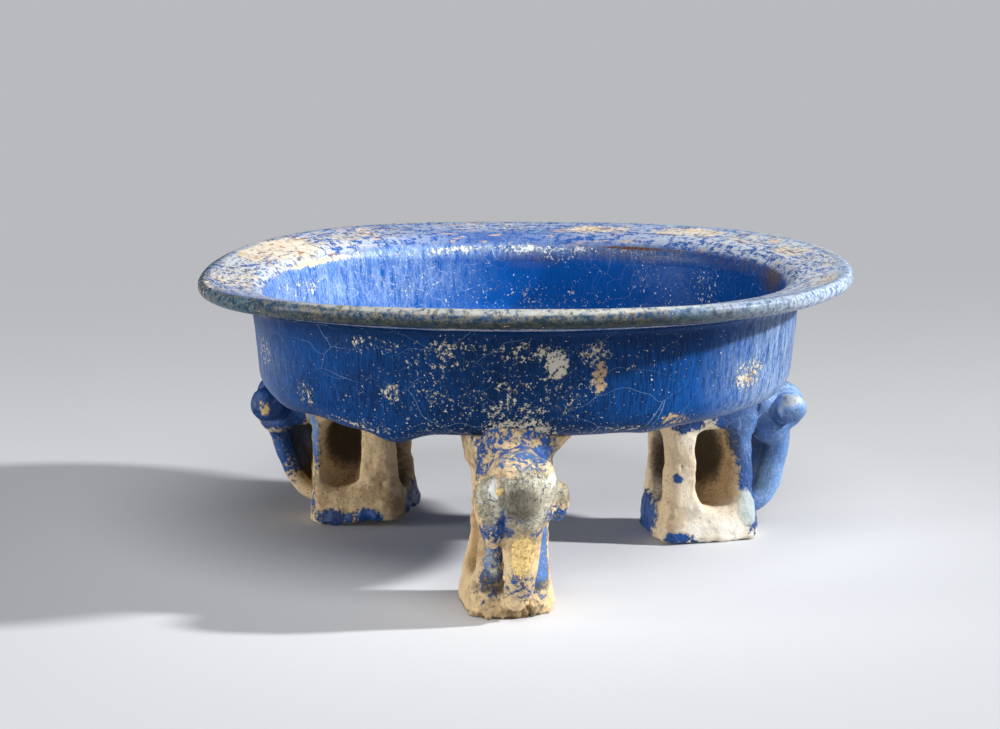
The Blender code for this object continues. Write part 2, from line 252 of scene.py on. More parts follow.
# Where glaze, worn silvery glaze, gold, clear spills, haze with painted sheen and highlights, dirt with
# painted shade, and tan paste with painted shade lie on each foot: centre, radii, strength
FRONT_PATCHES = {
    "glaze": [
        ((16, 0, 60), (13, 22, 14), 0.56), ((30, 0, 54), (10, 11, 7), 0.6), ((33, 0, 42), (12, 12, 11), 0.72),
        ((17, -9, 20), (6, 7, 16), 0.66), ((17, 9, 22), (6, 7, 18), 0.8), ((26, 0, 14), (10, 7, 8), 0.48),
        ((29, 11, 35), (6, 5, 5), 0.62), ((30, -9, 33), (6, 6, 6), 0.62), ((29, -11, 44), (7, 5, 10), 0.52),
        ((33, 0, 33), (8, 10, 5), 0.5), ((2, 13, 40), (16, 5, 16), 0.5), ((17, -10, 48), (8, 7, 12), 0.62),
        ((17, 10, 46), (8, 7, 14), 0.62), ((17, 12, 30), (6, 6, 14), 0.7),
    ],
    "silver": [
        ((36, 0, 43.5), (10, 10, 9), 0.86), ((36, 0, 36), (9, 8, 6), 0.62), ((31, -11, 42), (6, 5, 10), 0.72),
        ((29, 12, 44), (6, 5, 7), 0.8), ((17, -9, 33), (5, 6, 10), 0.62), ((17, -7, 18), (5, 4, 9), 0.5),
    ],
    "gold": [
        ((30, -0.5, 25), (8, 4.2, 8.5), 0.8), ((36, -8.5, 45), (3, 2, 2), 0.9),
        ((29, 13, 44), (4, 3, 5), 0.44),
    ],
    # Haze near 2 and over becomes painted highlights on the brow, the ear and a leg
    "haze_and_sheen": [
        ((30, 0, 54), (10, 11, 7), 0.3), ((17, 9, 22), (6, 7, 18), 0.35), ((36, -10, 46), (6, 2.2, 4.5), 2.6),
        ((36, 9, 48), (6, 3.2, 3.2), 2.2), ((18, -9.5, 21), (5, 2.4, 5.5), 2.4),
    ],
    # Dirt, and painted shade along the plinth's top, under the back and in the forehead's middle
    "dirt_and_shade": [
        ((14, 0, 10), (10, 14, 2.8), 0.72), ((17, -9, 12), (5, 6, 3), 0.7), ((18, 3, 2), (8, 10, 3), 0.55),
        ((38, -2, 41), (8, 7, 5.5), 0.95), ((2, -12, 50), (16, 4, 10), 0.42),
        ((2, 15, 50), (16, 4, 10), 0.38),
    ],
    "tan_and_shade": [((0, 0, 30), (60, 60, 80), 1.12)],
}
RIGHT_PATCHES = {
    "glaze": [
        ((30, 0, 44), (18, 18, 14), 1.3), ((25, 0, 20), (9, 9, 22), 1.3), ((17, -13, 38), (10, 10, 12), 1),
        ((16, -14.5, 25), (6, 6, 22), 1.1), ((17, 12, 30), (5, 6, 20), 1), ((-12.5, -15, 23), (2, 3, 2), 0.9),
        ((-17, 6, 6), (5, 14, 8), 0.95), ((-13, -16, 2.2), (6, 4.5, 2.6), 0.85),
        ((-5, -17, 0.6), (6, 3, 1.8), 0.7), ((-9, -15, 42), (6.5, 5, 3.2), 0.95),
        ((9, -15, 44), (9, 7, 5.5), 1.3), ((10, 15, 46), (20, 6, 8), 0.9), ((0, 16, 4), (14, 4, 5), 0.7),
    ],
    "spill": [((13, -16.5, 13), (5, 3.6, 8), 0.9)],
    # Haze near 2 and over becomes painted highlights on the ear ball
    "haze_and_sheen": [
        ((31, -9, 50), (12, 12, 8), 1), ((28.5, -13, 49), (5, 5, 3.6), 2.5),
        ((24.4, -13, 46), (1.8, 3, 5), 2.2), ((28, -4, 28), (8, 8, 18), 0.45),
        ((26, -4, 17), (7, 7, 11), 0.8), ((17, -13, 38), (10, 10, 12), 0.3),
    ],
    # Painted shade in the pockets, the rear opening and behind the trunk, with some dirt
    "dirt_and_shade": [
        ((0, -4.5, 29), (7.5, 7, 13), 0.85), ((24, 5, 28), (5, 3.4, 16), 0.7),
        ((23.4, -12, 43.5), (1.6, 3, 4), 0.7), ((-10, 0, 26), (8.5, 10, 13), 1),
        ((7, -12, 35), (5, 5, 7), 0.5),
    ],
    # Painted shade: tan also darkens the rear face and the near opening
    "tan_and_shade": [((-18, -4, 25), (8, 22, 40), 0.95), ((2, -6, 24), (13, 10, 20), 1.15)],
}
LEFT_PATCHES = {
    "glaze": [
        ((32, 0, 46), (18, 18, 13), 1.3), ((30, 0, 26), (10, 9, 14), 0.74),
        ((16, 13.5, 30), (3, 3.5, 14), 0.74), ((17.5, 16, 12), (2.8, 4, 9), 0.75),
        ((7, 16.5, 3), (9, 4, 3.4), 0.75), ((-5, 16.5, 3.4), (6.5, 4, 4), 0.8),
        ((-17, -4, 6), (4, 12, 7.5), 0.9), ((2, 15, 41), (4, 5, 7), 0.62), ((18, -13, 34), (8, 8, 14), 0.9),
        ((0, -16, 4), (14, 4, 5), 0.7), ((-8, 15, 48), (9, 5, 5), 0.7), ((10, 15, 50), (12, 5, 4), 0.6),
    ],
    "silver": [((10, 15, 46), (12, 5, 5), 0.5)],
    "gold": [((33.4, 14.5, 40.6), (3, 3, 4.6), 0.55)],
    "haze_and_sheen": [((18, 14, 40), (8, 6, 14), 0.6)],
    # Painted shade in the pockets, the rear opening and behind the trunk, with some dirt
    "dirt_and_shade": [
        ((5, 5, 31), (9, 8, 13), 1), ((24, -4, 28), (7, 3.6, 17), 1.2), ((26, 12, 37), (3, 4, 5), 0.6),
        ((-10, 0, 24), (7, 9, 16), 0.75),
    ],
    "tan_and_shade": [((0, 0, 25), (40, 40, 60), 1.1), ((6, 6, 26), (10, 8, 16), 1.2)],
}
FOOT_PATCHES = {"front": FRONT_PATCHES, "right": RIGHT_PATCHES, "left": LEFT_PATCHES}

# Wear on the bowl. Each spot: bearing in degrees, height or radius, half-widths along and across, strength.
# Lengths are in millimetres. Painted shade lies round a bearing, and the lit sides are spared it:
# bearing, spread, strength.
BASIN_OUTSIDE_RADIUS, BASIN_FLOOR_Z = 87.5, 60
INSIDE_REACH, INSIDE_WALL_RADIUS, RIM_WALL_RADIUS, SEAM_Z = 93.5, 90, 91, 91.5
LEDGE_START, LEDGE_BLEND, LEDGE_UNDER_Z = 87.6, 1.2, 91.2
LIP_START, LIP_BLEND, LIP_KEPT = 105.5, 3, 0.6
LIP_UNDER_RADIUS, LIP_UNDER_Z, LIP_UNDER_BLEND = 104, 98.0, 2.2
# Where the painted highlight runs along the top of the lip
CREST_RADIUS, CREST_RADIUS_BLEND, CREST_Z, CREST_Z_BLEND = 106.8, 0.8, 98.1, 0.5
WALL_RADIUS, INSIDE_RADIUS = 92, 86
# Painted shade on the wall under the rim, from this height up
SHADE_UNDER_RIM_Z, SHADE_UNDER_RIM_BLEND = 76, 12
LIT_RIGHT = (-20, 32, 1.0)
LIT_LEFT = (190, 40, 0.85)
LIP_LIT = 0.95
SHADE_FRONT = (-95, 34, 0.95)
SHADE_INSIDE = (25, 52, 0.55)
WALL_LOSSES = [
    (-122, 84.5, 18, 3.5, 0.4), (-104, 85, 16, 3.6, 0.46), (-88, 84, 14, 4.5, 0.52), (-84, 80.5, 4.6, 6, 0.7),
    (-76, 83.5, 7, 4.5, 0.62), (-75.5, 76, 2.6, 8, 0.75), (-92, 66, 16, 5, 0.47), (-91, 59, 15, 6, 0.6),
    (-38, 70, 10, 6, 0.57), (-117, 70, 5, 4, 0.52), (-141, 65, 6, 5, 0.5), (-108, 70, 6, 5, 0.46),
    (-84, 72, 14, 8, 0.42), (-58, 60, 8, 2.6, 0.58), (-103, 74, 34, 16, 0.37), (-62, 78, 22, 10, 0.26),
    (-124, 58, 26, 2.4, 0.42), (-72, 58.4, 16, 1.3, 0.5), (-100, 60, 60, 26, 0.3), (60, 80, 20, 7, 0.5),
    (110, 86, 24, 4, 0.55), (150, 70, 14, 8, 0.5), (20, 84, 16, 5, 0.5), (200, 74, 10, 6, 0.5),
]
WALL_STAINS = [
    (-75.5, 75, 3, 8, 0.9), (-38, 70, 5, 4, 0.7), (-81, 86, 3, 3, 0.6), (-104, 87, 5, 2, 0.6),
    (112, 84, 8, 4, 0.7), (-58, 60, 9, 4, 0.8), (-117, 70, 3, 3, 0.6),
]
INSIDE_LOSSES = [
    (95, 91.5, 52, 2.4, 0.56), (150, 93.4, 30, 2, 0.8), (60, 92, 20, 2.4, 0.36), (81, 90, 8, 6, 0.46),
    (58, 84, 8, 8, 0.37), (120, 84, 20, 12, 0.34), (40, 83, 8, 8, 0.38), (57, 92.6, 30, 0.4, 0.8),
    (160, 84, 24, 8, 0.4), (90, 72, 40, 10, 0.34), (45, 72, 30, 8, 0.36),
]
INSIDE_STAINS = [(57, 92.6, 30, 0.8, 1.7), (60, 91, 26, 3, 0.6), (100, 92, 16, 2, 0.5)]
INSIDE_SMOKE = [(10, 90.5, 12, 5, 0.95), (30, 92, 24, 3, 0.4), (60, 91, 26, 3, 0.45), (88, 89, 10, 4, 0.35)]
# Pale haze on the glaze, and painted sheen on the lit right of the wall and the lit left inside
WALL_HAZE_AND_SHEEN = [(-24, 72, 34, 20, 0.72), (-175, 72, 40, 20, 0.28), (90, 70, 60, 14, 0.3)]
INSIDE_HAZE_AND_SHEEN = [(155, 84, 44, 16, 0.75), (125, 84, 30, 16, 0.6), (110, 92.5, 70, 4, 1), (70, 92, 30, 4, 0.5)]
LEDGE_WASH = [
    (165, 97, 80, 16, 1), (5, 97, 110, 16, 1), (60, 100, 30, 14, 0.6), (100, 104, 60, 10, 0.5),
    (-90, 100, 90, 14, 0.7),
]
# Painted sheen on the lip, strongest on its lit right
LIP_SHEEN_SPOTS = [(-20, 107, 70, 9, 1), (40, 107, 60, 9, 0.7)]
LEDGE_LOSSES = [
    (154, 98, 28, 13, 0.74), (182, 99, 26, 12, 0.55), (128, 99, 20, 11, 0.5), (98, 103, 30, 8, 0.42),
    (73, 99, 18, 6, 0.62), (52, 100, 18, 7, 0.66), (34, 101, 20, 9, 0.52), (20, 99, 14, 8, 0.56),
    (5, 103, 16, 9, 0.5), (-19, 103, 20, 9, 0.55), (-60, 103, 34, 9, 0.42), (-130, 103, 34, 9, 0.46),
    (-95, 103, 34, 9, 0.42), (-166, 109, 26, 3.5, 1),
]
LEDGE_STAINS = [
    (165, 101, 36, 10, 0.5), (73, 98, 18, 6, 0.55), (52, 99, 16, 7, 0.5), (25, 98, 10, 5, 0.6),
    (10, 99, 8, 5, 0.55), (140, 99, 12, 6, 0.5),
]


def clear_stage():
    for name in ("Cube", "Light", "Camera"):
        if name in bpy.data.objects:
            bpy.data.objects.remove(bpy.data.objects[name])


# Shader maths

class Shade:
    """A socket in one material. Arithmetic on it adds Math nodes to that material."""

    def __init__(self, tree, socket):
        self.tree = tree
        self.socket = socket

    def node(self, kind, settings=None, inputs=None, output=0):
        """Any node: its type, its settings, and the values or links of its sockets."""
        made = self.tree.nodes.new(kind)
        for key, value in (settings or {}).items():
            setattr(made, key, value)
        for key, value in (inputs or {}).items():
            if isinstance(value, Shade):
                self.tree.links.new(value.socket, made.inputs[key])
            else:
                made.inputs[key].default_value = value
        return Shade(self.tree, made.outputs[output])

    def maths(self, operation, first, second):
        return self.node("ShaderNodeMath", {"operation": operation}, {0: first, 1: second})

    def __add__(self, other):
        return self.maths("ADD", self, other)

    __radd__ = __add__

    def __sub__(self, other):
        return self.maths("SUBTRACT", self, other)

    def __rsub__(self, other):
        return self.maths("SUBTRACT", other, self)

    def __mul__(self, other):
        return self.maths("MULTIPLY", self, other)

    def step(self, low, high):
        """0 below low, 1 above high, smooth between. A high under low turns it round."""
        settings = {"interpolation_type": "SMOOTHSTEP"}
        if low < high:
            return self.node("ShaderNodeMapRange", settings, {0: self, 1: low, 2: high, 3: 0.0, 4: 1.0})
        return self.node("ShaderNodeMapRange", settings, {0: self, 1: high, 2: low, 3: 1.0, 4: 0.0})

    def at_most(self, other):
        return self.maths("MINIMUM", self, other)

    def at_least(self, other):
        return self.maths("MAXIMUM", self, other)

    def noise(self, scale, detail, rough=0.5):
        inputs = {"Vector": self, "Scale": scale, "Detail": detail, "Roughness": rough}
        return self.node("ShaderNodeTexNoise", None, inputs)

    def cell_edges(self, scale):
        """How far it is to the nearest edge of a net of uneven cells."""
        inputs = {"Vector": self, "Scale": scale}
        return self.node("ShaderNodeTexVoronoi", {"feature": "DISTANCE_TO_EDGE"}, inputs, "Distance")

    def vector(self, operation, second=None, output=0):
        inputs = {0: self} if second is None else {0: self, 1: second}
        return self.node("ShaderNodeVectorMath", {"operation": operation}, inputs, output)

    def stretch(self, x, y, z):
        return self.vector("MULTIPLY", (x, y, z))

    def shift(self, other):
        return self.vector("ADD", other)

    def wander(self, scale, amount):
        """This position pushed about by noise, so that lines and edges wander."""
        push = self.node("ShaderNodeTexNoise", None, {"Vector": self, "Scale": scale, "Detail": 2.0}, "Color")
        centred = push.vector("SUBTRACT", (0.5, 0.5, 0.5))
        return self.shift(centred.stretch(amount, amount, amount))

    def tint(self, first, second):
        """A colour that goes from first to second as this value goes from 0 to 1."""
        first = (*first, 1) if isinstance(first, tuple) else first
        second = (*second, 1) if isinstance(second, tuple) else second
        return self.node("ShaderNodeMix", {"data_type": "RGBA"}, {0: self, 6: first, 7: second}, 2)

    def attribute(self, name):
        return self.node("ShaderNodeAttribute", {"attribute_name": name}, None, "Fac")


SOCKETS = {"base_color": "Base Color", "roughness": "Roughness", "metallic": "Metallic", "alpha": "Alpha",
           "normal": "Normal", "specular_ior_level": "Specular IOR Level"}


class Finish:
    """A material with a Principled shader, and the position that its patterns start from."""

    def __init__(self, name, **fixed):
        self.material = bpy.data.materials.new(name)
        self.material.use_nodes = True
        self.tree = self.material.node_tree
        self.shader = self.tree.nodes["Principled BSDF"]
        for socket, value in fixed.items():
            self.shader.inputs[SOCKETS[socket]].default_value = value
        coordinates = self.tree.nodes.new("ShaderNodeTexCoord")
        self.place = Shade(self.tree, coordinates.outputs["Object"])

    def feed(self, **links):
        for socket, value in links.items():
            self.tree.links.new(value.socket, self.shader.inputs[SOCKETS[socket]])

    def bump(self, height, distance, strength):
        inputs = {"Height": height, "Distance": distance, "Strength": strength}
        self.feed(normal=height.node("ShaderNodeBump", None, inputs))


# Mesh helpers

def in_scene(name, data):
    """A new object with this data."""
    made = bpy.data.objects.new(name, data)
    bpy.context.scene.collection.objects.link(made)
    return made


def mesh_from(name, bm):
    """The bmesh as a mesh. The bmesh goes."""
    mesh = bpy.data.meshes.new(name)
    bm.to_mesh(mesh)
    bm.free()
    return mesh


def rounded(bm, geom, offset, segments, affect="EDGES", clamp=False):
    bmesh.ops.bevel(bm, geom=geom, offset=offset, offset_type="OFFSET", segments=segments, profile=0.5,
                    affect=affect, material=-1, clamp_overlap=clamp)


def new_piece(name, bm, node, material):
    """The finished bmesh as an object that stands for a CAD node."""
    mesh = mesh_from(name, bm)
    mesh.shade_smooth()
    mesh.set_sharp_from_angle(angle=math.radians(SHARP_ANGLE))
    mesh.materials.append(material)
    piece = in_scene(name, mesh)
    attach(piece, BODY)
    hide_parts(node)
    return piece


def profile_wire(corners, closed):
    """A section in the XZ plane as wire edges. Each corner is (x, z, rounding)."""
    bm = bmesh.new()
    verts = [bm.verts.new((x, 0, z)) for x, z, _ in corners]
    for first, second in zip(verts, verts[1:]):
        bm.edges.new((first, second))
    if closed:
        bm.edges.new((verts[-1], verts[0]))
    for vert, (_, _, rounding) in zip(verts, corners):
        if rounding:
            rounded(bm, [vert], rounding, 8, "VERTICES", clamp=True)
    for edge in list(bm.edges):
        cuts = int(edge.calc_length() / PROFILE_STEP)
        if cuts:
            bmesh.ops.subdivide_edges(bm, edges=[edge], cuts=cuts)
    return bm


def spin(bm):
    """A full turn about Z: one wedge is spun, and its copies are spun round to close the ring."""
    wedge = math.tau / SPIN_WEDGES
    bmesh.ops.spin(bm, geom=bm.verts[:] + bm.edges[:], cent=(0, 0, 0), axis=(0, 0, 1), angle=wedge,
                   steps=WEDGE_STEPS)
    bmesh.ops.spin(bm, geom=bm.verts[:] + bm.edges[:] + bm.faces[:], cent=(0, 0, 0), axis=(0, 0, 1),
                   angle=math.tau - wedge, steps=SPIN_WEDGES - 1, use_duplicate=True)
    bmesh.ops.remove_doubles(bm, verts=bm.verts, dist=SEAM_MERGE)
    bmesh.ops.recalc_face_normals(bm, faces=bm.faces)


def within(value):
    return min(1.0, max(0.0, value))


def off_bearing(bearing, middle):
    return (bearing - middle + 180) % 360 - 180


def bumps(bearing, marks):
    """Smooth bumps round the bowl, each given as its bearing, height and spread in degrees."""
    total = 0.0
    for middle, height, spread in marks:
        total += height * math.exp(-(off_bearing(math.degrees(bearing), middle) / spread) ** 2)
    return total


def run_drips(bm):
    """Glaze that ran down the wall and stopped in thick rolls at its foot."""
    for vert in bm.verts:
        radius = math.hypot(vert.co.x, vert.co.y)
        near = within((DRIP_TOP - vert.co.z) / DRIP_RUN) * within((radius - DRIP_INNER_RADIUS) / DRIP_REACH)
        if near and vert.co.z < UNDERSIDE + DRIP_CORNER:
            vert.co.z -= MM * near * bumps(math.atan2(vert.co.y, vert.co.x), DRIPS)


def hand_made(bm):
    """Rim dips and swells, and slow ripples in the wall, as a bowl turned by hand has."""
    for vert in bm.verts:
        bearing = math.atan2(vert.co.y, vert.co.x)
        up = max(0.0, (vert.co.z - UNDERSIDE) / (RIM_HIGH.z - UNDERSIDE)) ** 2
        lift = RIM_WAVE * math.sin(3 * bearing + math.radians(RIM_WAVE_START))
        lift -= RIM_SWAY * math.cos(2 * bearing)
        ripple = sum(noise.noise(vert.co * pitch) * high * MM for pitch, high in RIPPLES)
        radius = math.hypot(vert.co.x, vert.co.y)
        if radius > STILL_RADIUS:
            vert.co.x += vert.co.x / radius * ripple
            vert.co.y += vert.co.y / radius * ripple
        lift += MM * bumps(bearing, RIM_LIFTS)
        vert.co.z += lift * up


def make_basin(glaze):
    floor = UNDERSIDE + FLOOR_THICKNESS
    bm = profile_wire([
        (0, floor, 0),
        (WALL_LOW_RADIUS - WALL_THICKNESS, floor, INNER_CORNER),
        (WALL_SEAM_RADIUS - WALL_THICKNESS, RIM_SEAM, 0),
        (WALL_SEAM_RADIUS, RIM_SEAM, 0),
        (WALL_LOW_RADIUS, UNDERSIDE, OUTER_CORNER),
        (0, UNDERSIDE, 0),
    ], closed=False)
    spin(bm)
    hand_made(bm)
    run_drips(bm)
    return new_piece("glazed_basin", bm, "bowl_basin", glaze)


def make_rim(glaze):
    bm = profile_wire([
        (WALL_SEAM_RADIUS - WALL_THICKNESS, RIM_SEAM, 0),
        (WALL_SEAM_RADIUS - WALL_THICKNESS + INNER_STEP, LEDGE_INNER_TOP, LEDGE_SHOULDER),
        (RIM_RADIUS, LEDGE_OUTER_TOP, LIP_ROUNDING),
        (RIM_RADIUS, LEDGE_OUTER_TOP - LIP_THICKNESS, UNDER_ROUNDING),
        (WALL_SEAM_RADIUS + OUTER_STEP, LEDGE_LOW, UNDER_ROUNDING),
        (WALL_SEAM_RADIUS, RIM_SEAM, 0),
    ], closed=True)
    spin(bm)
    hand_made(bm)
    return new_piece("glazed_ledge_rim", bm, "ledge_rim", glaze)


# Feet

def join_mesh(bm, mesh):
    bm.from_mesh(mesh)
    bpy.data.meshes.remove(mesh)


def evaluated(made):
    """The mesh that an object's modifiers or curve settings give. The object goes."""
    bpy.context.view_layer.update()
    mesh = bpy.data.meshes.new_from_object(made.evaluated_get(bpy.context.evaluated_depsgraph_get()))
    bpy.data.objects.remove(made)
    return mesh


def clay_object(bm):
    return in_scene("clay", mesh_from("clay", bm))


def ellipsoid(bm, centre, radii, turn=0.0, lean=0.0):
    """A ball drawn out to three radii, leant to one side and turned about the upright by some degrees."""
    place = (Matrix.Translation(centre) @ Matrix.Rotation(math.radians(turn), 4, "Z")
             @ Matrix.Rotation(math.radians(lean), 4, "X") @ Matrix.Diagonal((*radii, 1)))
    bmesh.ops.create_uvsphere(bm, u_segments=32, v_segments=20, radius=1, matrix=place)


def frustum(bm, low, top, edge, sole_edge=0.0, lean=0.0):
    """A box with its upright corners rounded. Low and top are each (back, front, half width, height)."""
    made = bmesh.ops.create_cube(bm, size=2)["verts"]
    for vert in made:
        back, front, half, height = low if vert.co.z < 0 else top
        aside = 0 if vert.co.z < 0 else lean
        vert.co = Vector((front if vert.co.x > 0 else back, half * vert.co.y + aside, height))
    edges = {e for v in made for e in v.link_edges}
    upright = [e for e in edges if abs(e.verts[0].co.z - e.verts[1].co.z) > 0.5 * (top[3] - low[3])]
    rounded(bm, upright, edge, 6)
    if sole_edge:
        sole = [e for e in bm.edges if max(v.co.z for v in e.verts) < low[3] + 0.01]
        rounded(bm, sole, sole_edge, 3)


def pocket(low, high, rounding, slant=0.0, face=0.0):
    """A cutter for one opening in a block, from its low to its high corner. Slant draws its front side back
    for each millimetre in from the face."""
    centre = [(a + b) / 2 for a, b in zip(low, high)]
    size = [b - a for a, b in zip(low, high)]
    bm = bmesh.new()
    made = bmesh.ops.create_cube(bm, size=1, matrix=Matrix.Translation(centre) @ Matrix.Diagonal((*size, 1)))
    for vert in made["verts"]:
        if vert.co.x > centre[0]:
            vert.co.x += slant * (abs(vert.co.y) - face)
    rounded(bm, bm.edges[:], rounding, 5, clamp=True)
    return clay_object(bm)


def pierced_block(foot):
    """Plinth, four legs and back, with an opening in each side between the legs."""
    back, front, half, end, gap = foot["back"], foot["front"], foot["half"], foot["end"], foot["gap"]
    bm = bmesh.new()
    top = (back + BLOCK_TAPER[0], front - BLOCK_TAPER[1], foot["top_half"], BLOCK_TOP_Z)
    frustum(bm, (back, front, half, 0), top, foot["edge"], SOLE_EDGE, foot["lean"])
    core = half * CORE_SHARE
    start, stop, sill = foot["flank"]
    cutters = [
        pocket((start, core, sill), (stop, FLANK_REACH, FLANK_TOP), FLANK_ROUNDING, FLANK_SLANT, half),
        pocket((start, -FLANK_REACH, sill), (stop, -core, FLANK_TOP), FLANK_ROUNDING, FLANK_SLANT, half),
        pocket((-OPENING_REACH, -end, END_SILL), (back + END_DEPTH, end, END_TOP), END_ROUNDING * end),
        pocket((front - GAP_DEPTH, -gap, GAP_SILL), (OPENING_REACH, gap, GAP_TOP), GAP_ROUNDING * gap),
    ]
    block = clay_object(bm)
    for cutter in cutters:
        cut = block.modifiers.new("cut", "BOOLEAN")
        cut.operation = "DIFFERENCE"
        cut.object = cutter
    mesh = evaluated(block)
    for cutter in cutters:
        bpy.data.objects.remove(cutter)
    return mesh


def trunk_tube(route):
    """The trunk as a tube whose thickness changes along its route: x, z and radius at each point."""
    curve = bpy.data.curves.new("trunk", "CURVE")
    curve.dimensions = "3D"
    curve.bevel_depth = 1
    curve.bevel_resolution = 6
    curve.use_fill_caps = True
    curve.resolution_u = 8
    spline = curve.splines.new("BEZIER")
    spline.bezier_points.add(len(route) - 1)
    for point, (x, z, radius) in zip(spline.bezier_points, route):
        point.co = (x, 0, z)
        point.radius = radius
        point.handle_left_type = point.handle_right_type = "AUTO"
    return evaluated(in_scene("trunk", curve))


def model_saddle(bm, foot):
    """The flared back under the basin, with the nape and the chest."""
    back, front, half, neck = foot["back"], foot["front"], foot["top_half"], foot["neck"]
    lean, fillet = foot["lean"], foot["fillet"]
    flare = half + SADDLE_FLARE + lean / 2 + fillet
    low = (back + SADDLE_BACK, front - SADDLE_FRONT, half, SADDLE_Z)
    top = (back + SADDLE_TOP_BACK, neck, flare, BLOCK_TOP_Z)
    frustum(bm, low, top, foot["edge"], lean=lean + fillet)
    ellipsoid(bm, (neck - NAPE_BACK, lean, NAPE_Z), (NAPE_RADII[0], half, NAPE_RADII[1]))
    ellipsoid(bm, (neck, lean / 2, CHEST_Z), (CHEST_RADII[0], half - CHEST_NARROW, CHEST_RADII[1]))


def model_head(bm, foot):
    """Webs behind the trunk, brows, cheeks, skull, forehead, ears and shoulders."""
    out, low, brow = foot["head"], foot["sink"], foot["brow"]
    for x, share, z, radii in WEBS:
        ellipsoid(bm, (x + out * share, foot["web"], z), radii)
    for side in (1, -1):
        aside, wide = side * brow * BROW_SHARES[0], brow * BROW_SHARES[1]
        ellipsoid(bm, (BROW_X + out, aside, BROW_Z - low), (BROW_RADII[0], wide, BROW_RADII[1]))
        aside, wide = side * brow * CHEEK_SHARES[0], brow * CHEEK_SHARES[1]
        centre = (BROW_X + out + foot["chin"], aside, CHEEK_Z - low)
        ellipsoid(bm, centre, (CHEEK_RADII[0], wide, CHEEK_RADII[1]))
    ellipsoid(bm, (SKULL_X + out / 2, 0, BROW_Z - low), (SKULL_RADII[0] + out / 2, brow, SKULL_RADII[1]))
    ellipsoid(bm, (FOREHEAD_X + out, 0, FOREHEAD_Z - low), (FOREHEAD_RADII[0], brow, FOREHEAD_RADII[1]))
    for ear in ("left_ear", "right_ear"):
        (x, y, z), radii = foot[ear]
        splay = math.copysign(EAR_SPLAY, y)
        ellipsoid(bm, (x + out, y, z - low), radii, splay, -splay)
    for side in (1, -1):
        aside = side * (foot["top_half"] - SHOULDER_IN)
        ellipsoid(bm, (foot["front"] - SHOULDER_IN, aside, SHOULDER_Z), SHOULDER_RADII)


def smooth(skin, verts, rounds):
    for _ in range(rounds):
        bmesh.ops.smooth_vert(skin, verts=verts, factor=SMOOTHING, use_axis_x=True, use_axis_y=True,
                              use_axis_z=True)


def elephant(name):
    """One foot as a single skin of clay, in its own frame."""
    foot = FEET[name]
    bm = bmesh.new()
    join_mesh(bm, pierced_block(foot))
    model_saddle(bm, foot)
    model_head(bm, foot)
    join_mesh(bm, trunk_tube(TRUNK_ROUTES[name]))
    clay = clay_object(bm)
    fuse = clay.modifiers.new("fuse", "REMESH")
    fuse.mode = "VOXEL"
    fuse.voxel_size = VOXEL
    skin = bmesh.new()
    join_mesh(skin, evaluated(clay))
    smooth(skin, skin.verts[:], SMOOTH_ROUNDS)
    low, high = POST_SPAN
    smooth(skin, [v for v in skin.verts if v.co.x < POST_FRONT and low < v.co.z < high], POST_ROUNDS)
    roughen(skin, name)
    return skin


def lumps(place, layers):
    return sum(high * noise.noise(place / size) for high, size in layers)


def groove(off, band):
    """How deep a groove is at some place across it. The band is (where, half-width, depth)."""
    where, half_width, depth = band
    return depth * math.exp(-((off - where) / half_width) ** 2)


def draw_in_waist(vert):
    """The legs are thinner half-way up."""
    waist = WAIST * math.sin(math.pi * within((vert.co.z - WAIST_LOW) / WAIST_SPAN))
    vert.co.y -= waist * max(-1.0, min(1.0, vert.co.y / WAIST_HALF))
    vert.co.x -= waist * max(-1.0, min(0.0, (vert.co.x + WAIST_MIDDLE) / WAIST_HALF))


def roughen(skin, name):
    """Hand-modelled unevenness all over, and worn and chipped edges round the plinth."""
    skin.normal_update()
    seed = Vector((len(name) * 37.0, 11.0, 5.0))
    ball = EAR_BALLS.get(name)
    block_front = FRONT_CUT[0][0]
    low, high = CHEEK_GROOVE_SPAN
    for vert in skin.verts:
        place = vert.co + seed
        push = lumps(place, LUMPS)
        if vert.co.x < block_front:
            draw_in_waist(vert)
        chipped = max(0.0, 1 - vert.co.z / CHIP_TOP)
        push -= chipped * CHIP_DEPTH * max(0.0, noise.noise(place / CHIP_SIZE) - CHIP_START)
        if vert.co.x < block_front and vert.co.z < PASTE_TOP:
            push += lumps(place, [(FEET[name]["swell"], PASTE_SWELL_SIZE), *PASTE_LUMPS])
            pit = noise.voronoi(place / PIT_SPACING)[0][0]
            push -= PIT_DEPTH * max(0.0, 1 - pit / PIT_SHARE)
        if ball and vert.co.y * ball[1] > 0 and abs(vert.co.y) > EAR_START:
            ring = math.hypot(vert.co.x - ball[0], vert.co.z - ball[2])
            push -= groove(ring, (ball[3], EAR_GROOVE_WIDTH, EAR_GROOVE_DEPTH))
        if name == "front" and vert.co.x > CHEEK_GROOVE_BACK and low < vert.co.z < high:
            push -= groove(vert.co.y, CHEEK_GROOVE)
        if name == "front" and vert.co.z < CRACK_TOP and vert.co.x > CRACK_BACK:
            push += lumps(place, CRUMBS)
            push -= groove(vert.co.y - CRACK_SWAY * math.sin(vert.co.z), CRACK)
        vert.co += vert.normal * push
        vert.co.z = max(vert.co.z, 0.0)
        if name == "left":
            worn = within((SOLE_RISE_START - vert.co.x) / SOLE_RISE_RUN)
            vert.co.z += SOLE_RISE * worn * max(0.0, 1 - vert.co.z / SOLE_RISE_TOP)


